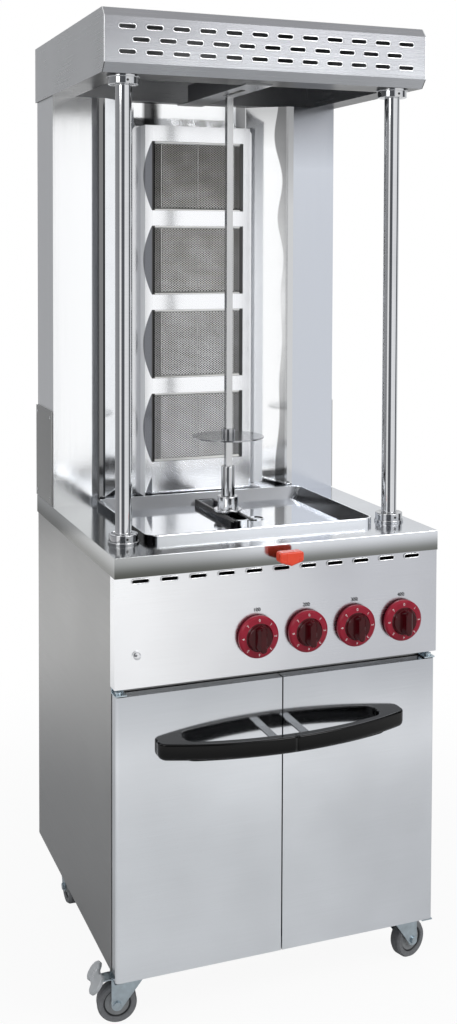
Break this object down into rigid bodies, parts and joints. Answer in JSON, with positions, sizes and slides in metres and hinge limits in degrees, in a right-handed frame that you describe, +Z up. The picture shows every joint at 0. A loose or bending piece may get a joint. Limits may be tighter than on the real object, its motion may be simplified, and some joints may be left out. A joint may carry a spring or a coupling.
{
  "type": "doner kebab grill",
  "caption": "Upright gas-fired rotisserie grill on casters: cabinet with doors, drip pan, turning spit, burner column and vented hood.",
  "frame": {"origin": "on the floor, under the middle of the cabinet", "axes": "+X to the right seen from the front, +Y to the back, +Z up; the doors and knobs face -Y"},
  "size_m": [0.649, 0.6602, 1.7165],
  "materials": {
    "satin_steel": "satin, brushed",
    "polished_steel": "polished",
    "burner_mesh": "woven wire",
    "ceramic": "matt ceramic",
    "zinc_plate": "zinc plated",
    "brass": "plain",
    "motor_housing": "satin paint",
    "bearing_block": "moulded",
    "handle_black": "gloss",
    "pull_orange": "gloss",
    "knob_red": "gloss",
    "wheel_grey": "matt tread",
    "pedal_grey": "translucent moulding"
  },
  "bodies": {
    "frame": {"cabinet_left_side": "satin_steel", "cabinet_right_side": "satin_steel", "cabinet_back": "satin_steel", "cabinet_floor": "satin_steel", "service_shelf": "satin_steel", "control_panel": "satin_steel", "worktop": "satin_steel", "drip_pan": "polished_steel", "posts": "polished_steel", "post_collars": "polished_steel", "housing_left": "satin_steel", "housing_right": "satin_steel", "housing_back": "satin_steel", "reflector": "polished_steel", "access_covers": "satin_steel", "burner_column": "polished_steel", "burner_meshes": "burner_mesh", "burner_plaques": "ceramic", "burner_bodies": "zinc_plate", "hood_shell": "satin_steel", "hood_fascia": "satin_steel", "hood_channel": "zinc_plate", "carriage_rails": "zinc_plate", "hinge_brackets": "zinc_plate", "gas_valves": "brass", "gas_manifold": "zinc_plate", "feed_tubes": "brass", "caster_plates": "zinc_plate"},
    "door_left": {"door_left": "satin_steel", "handle_left": "handle_black"},
    "door_right": {"door_right": "satin_steel", "handle_right": "handle_black"},
    "valve_spindle_1": {"valve_spindle_1": "brass"},
    "knob_1": {"knob_1": "knob_red"},
    "valve_spindle_2": {"valve_spindle_2": "brass"},
    "knob_2": {"knob_2": "knob_red"},
    "valve_spindle_3": {"valve_spindle_3": "brass"},
    "knob_3": {"knob_3": "knob_red"},
    "valve_spindle_4": {"valve_spindle_4": "brass"},
    "knob_4": {"knob_4": "knob_red"},
    "igniter_button": {"igniter_button": "polished_steel"},
    "carriage": {"spit_carriage": "zinc_plate", "gear_motor": "motor_housing", "pull_rod": "polished_steel", "pull_handle": "pull_orange", "bearing_collar": "polished_steel"},
    "spit": {"spit_rod": "polished_steel", "meat_disc": "polished_steel", "spit_socket": "polished_steel"},
    "top_bearing": {"top_bearing": "bearing_block"},
    "fork_fl": {"caster_fork_fl": "zinc_plate"},
    "wheel_fl": {"caster_wheel_fl": "wheel_grey"},
    "fork_fr": {"caster_fork_fr": "zinc_plate"},
    "wheel_fr": {"caster_wheel_fr": "wheel_grey"},
    "fork_rl": {"caster_fork_rl": "zinc_plate"},
    "wheel_rl": {"caster_wheel_rl": "wheel_grey"},
    "fork_rr": {"caster_fork_rr": "zinc_plate"},
    "wheel_rr": {"caster_wheel_rr": "wheel_grey"},
    "brake": {"brake_strap": "zinc_plate", "brake_pad": "pedal_grey"}
  },
  "joints": [
    {"name": "door_left_hinge", "type": "hinge", "parent": "frame", "child": "door_left", "pos_m": [-0.2915, -0.253, 0.33], "axis": [0, 0, -1], "range_deg": [0, 110]},
    {"name": "door_right_hinge", "type": "hinge", "parent": "frame", "child": "door_right", "pos_m": [0.2915, -0.253, 0.33], "axis": [0, 0, 1], "range_deg": [0, 110]},
    {"name": "spindle_1_push", "type": "slide", "parent": "frame", "child": "valve_spindle_1", "axis": [0, 1, 0], "range_m": [0, 0.0035], "stiffness_N_per_m": 900},
    {"name": "knob_1_turn", "type": "hinge", "parent": "valve_spindle_1", "child": "knob_1", "pos_m": [-0.049, -0.277, 0.654], "axis": [0, -1, 0], "range_deg": [0, 270]},
    {"name": "spindle_2_push", "type": "slide", "parent": "frame", "child": "valve_spindle_2", "axis": [0, 1, 0], "range_m": [0, 0.0035], "stiffness_N_per_m": 900},
    {"name": "knob_2_turn", "type": "hinge", "parent": "valve_spindle_2", "child": "knob_2", "pos_m": [0.0437, -0.277, 0.654], "axis": [0, -1, 0], "range_deg": [0, 270]},
    {"name": "spindle_3_push", "type": "slide", "parent": "frame", "child": "valve_spindle_3", "axis": [0, 1, 0], "range_m": [0, 0.0035], "stiffness_N_per_m": 900},
    {"name": "knob_3_turn", "type": "hinge", "parent": "valve_spindle_3", "child": "knob_3", "pos_m": [0.1364, -0.277, 0.654], "axis": [0, -1, 0], "range_deg": [0, 270]},
    {"name": "spindle_4_push", "type": "slide", "parent": "frame", "child": "valve_spindle_4", "axis": [0, 1, 0], "range_m": [0, 0.0035], "stiffness_N_per_m": 900},
    {"name": "knob_4_turn", "type": "hinge", "parent": "valve_spindle_4", "child": "knob_4", "pos_m": [0.2291, -0.277, 0.654], "axis": [0, -1, 0], "range_deg": [0, 270]},
    {"name": "igniter_push", "type": "slide", "parent": "frame", "child": "igniter_button", "axis": [0, 1, 0], "range_m": [0, 0.005], "stiffness_N_per_m": 700},
    {"name": "carriage_slide", "type": "slide", "parent": "frame", "child": "carriage", "axis": [0, -1, 0], "range_m": [-0.016, 0.065]},
    {"name": "bearing_slide", "type": "slide", "parent": "frame", "child": "top_bearing", "axis": [0, -1, 0], "range_m": [-0.016, 0.065]},
    {"name": "spit_turn", "type": "hinge", "parent": "carriage", "child": "spit", "pos_m": [0, 0.002, 0.85], "axis": [0, 0, 1], "continuous": true},
    {"name": "swivel_fl", "type": "hinge", "parent": "frame", "child": "fork_fl", "pos_m": [-0.257, -0.213, 0.09], "axis": [0, 0, 1], "continuous": true},
    {"name": "wheel_fl_roll", "type": "hinge", "parent": "fork_fl", "child": "wheel_fl", "pos_m": [-0.28161, -0.20862, 0.034], "axis": [-0.1754, -0.9845, 0], "continuous": true},
    {"name": "swivel_fr", "type": "hinge", "parent": "frame", "child": "fork_fr", "pos_m": [0.257, -0.213, 0.09], "axis": [0, 0, 1], "continuous": true},
    {"name": "wheel_fr_roll", "type": "hinge", "parent": "fork_fr", "child": "wheel_fr", "pos_m": [0.28091, -0.20569, 0.034], "axis": [-0.2924, 0.9563, 0], "continuous": true},
    {"name": "swivel_rl", "type": "hinge", "parent": "frame", "child": "fork_rl", "pos_m": [-0.257, 0.228, 0.09], "axis": [0, 0, 1], "continuous": true},
    {"name": "wheel_rl_roll", "type": "hinge", "parent": "fork_rl", "child": "wheel_rl", "pos_m": [-0.257, 0.203, 0.034], "axis": [1, 0, 0], "continuous": true},
    {"name": "swivel_rr", "type": "hinge", "parent": "frame", "child": "fork_rr", "pos_m": [0.257, 0.228, 0.09], "axis": [0, 0, 1], "continuous": true},
    {"name": "wheel_rr_roll", "type": "hinge", "parent": "fork_rr", "child": "wheel_rr", "pos_m": [0.24845, 0.20451, 0.034], "axis": [0.9397, -0.342, 0], "continuous": true},
    {"name": "brake_lever", "type": "hinge", "parent": "fork_fl", "child": "brake", "pos_m": [-0.26881, -0.2109, 0.077], "axis": [-0.1754, -0.9845, 0], "range_deg": [0, 10]}
  ],
  "couplings": [
    {"joint": "bearing_slide", "follows": "carriage_slide", "ratio": 1}
  ]
}
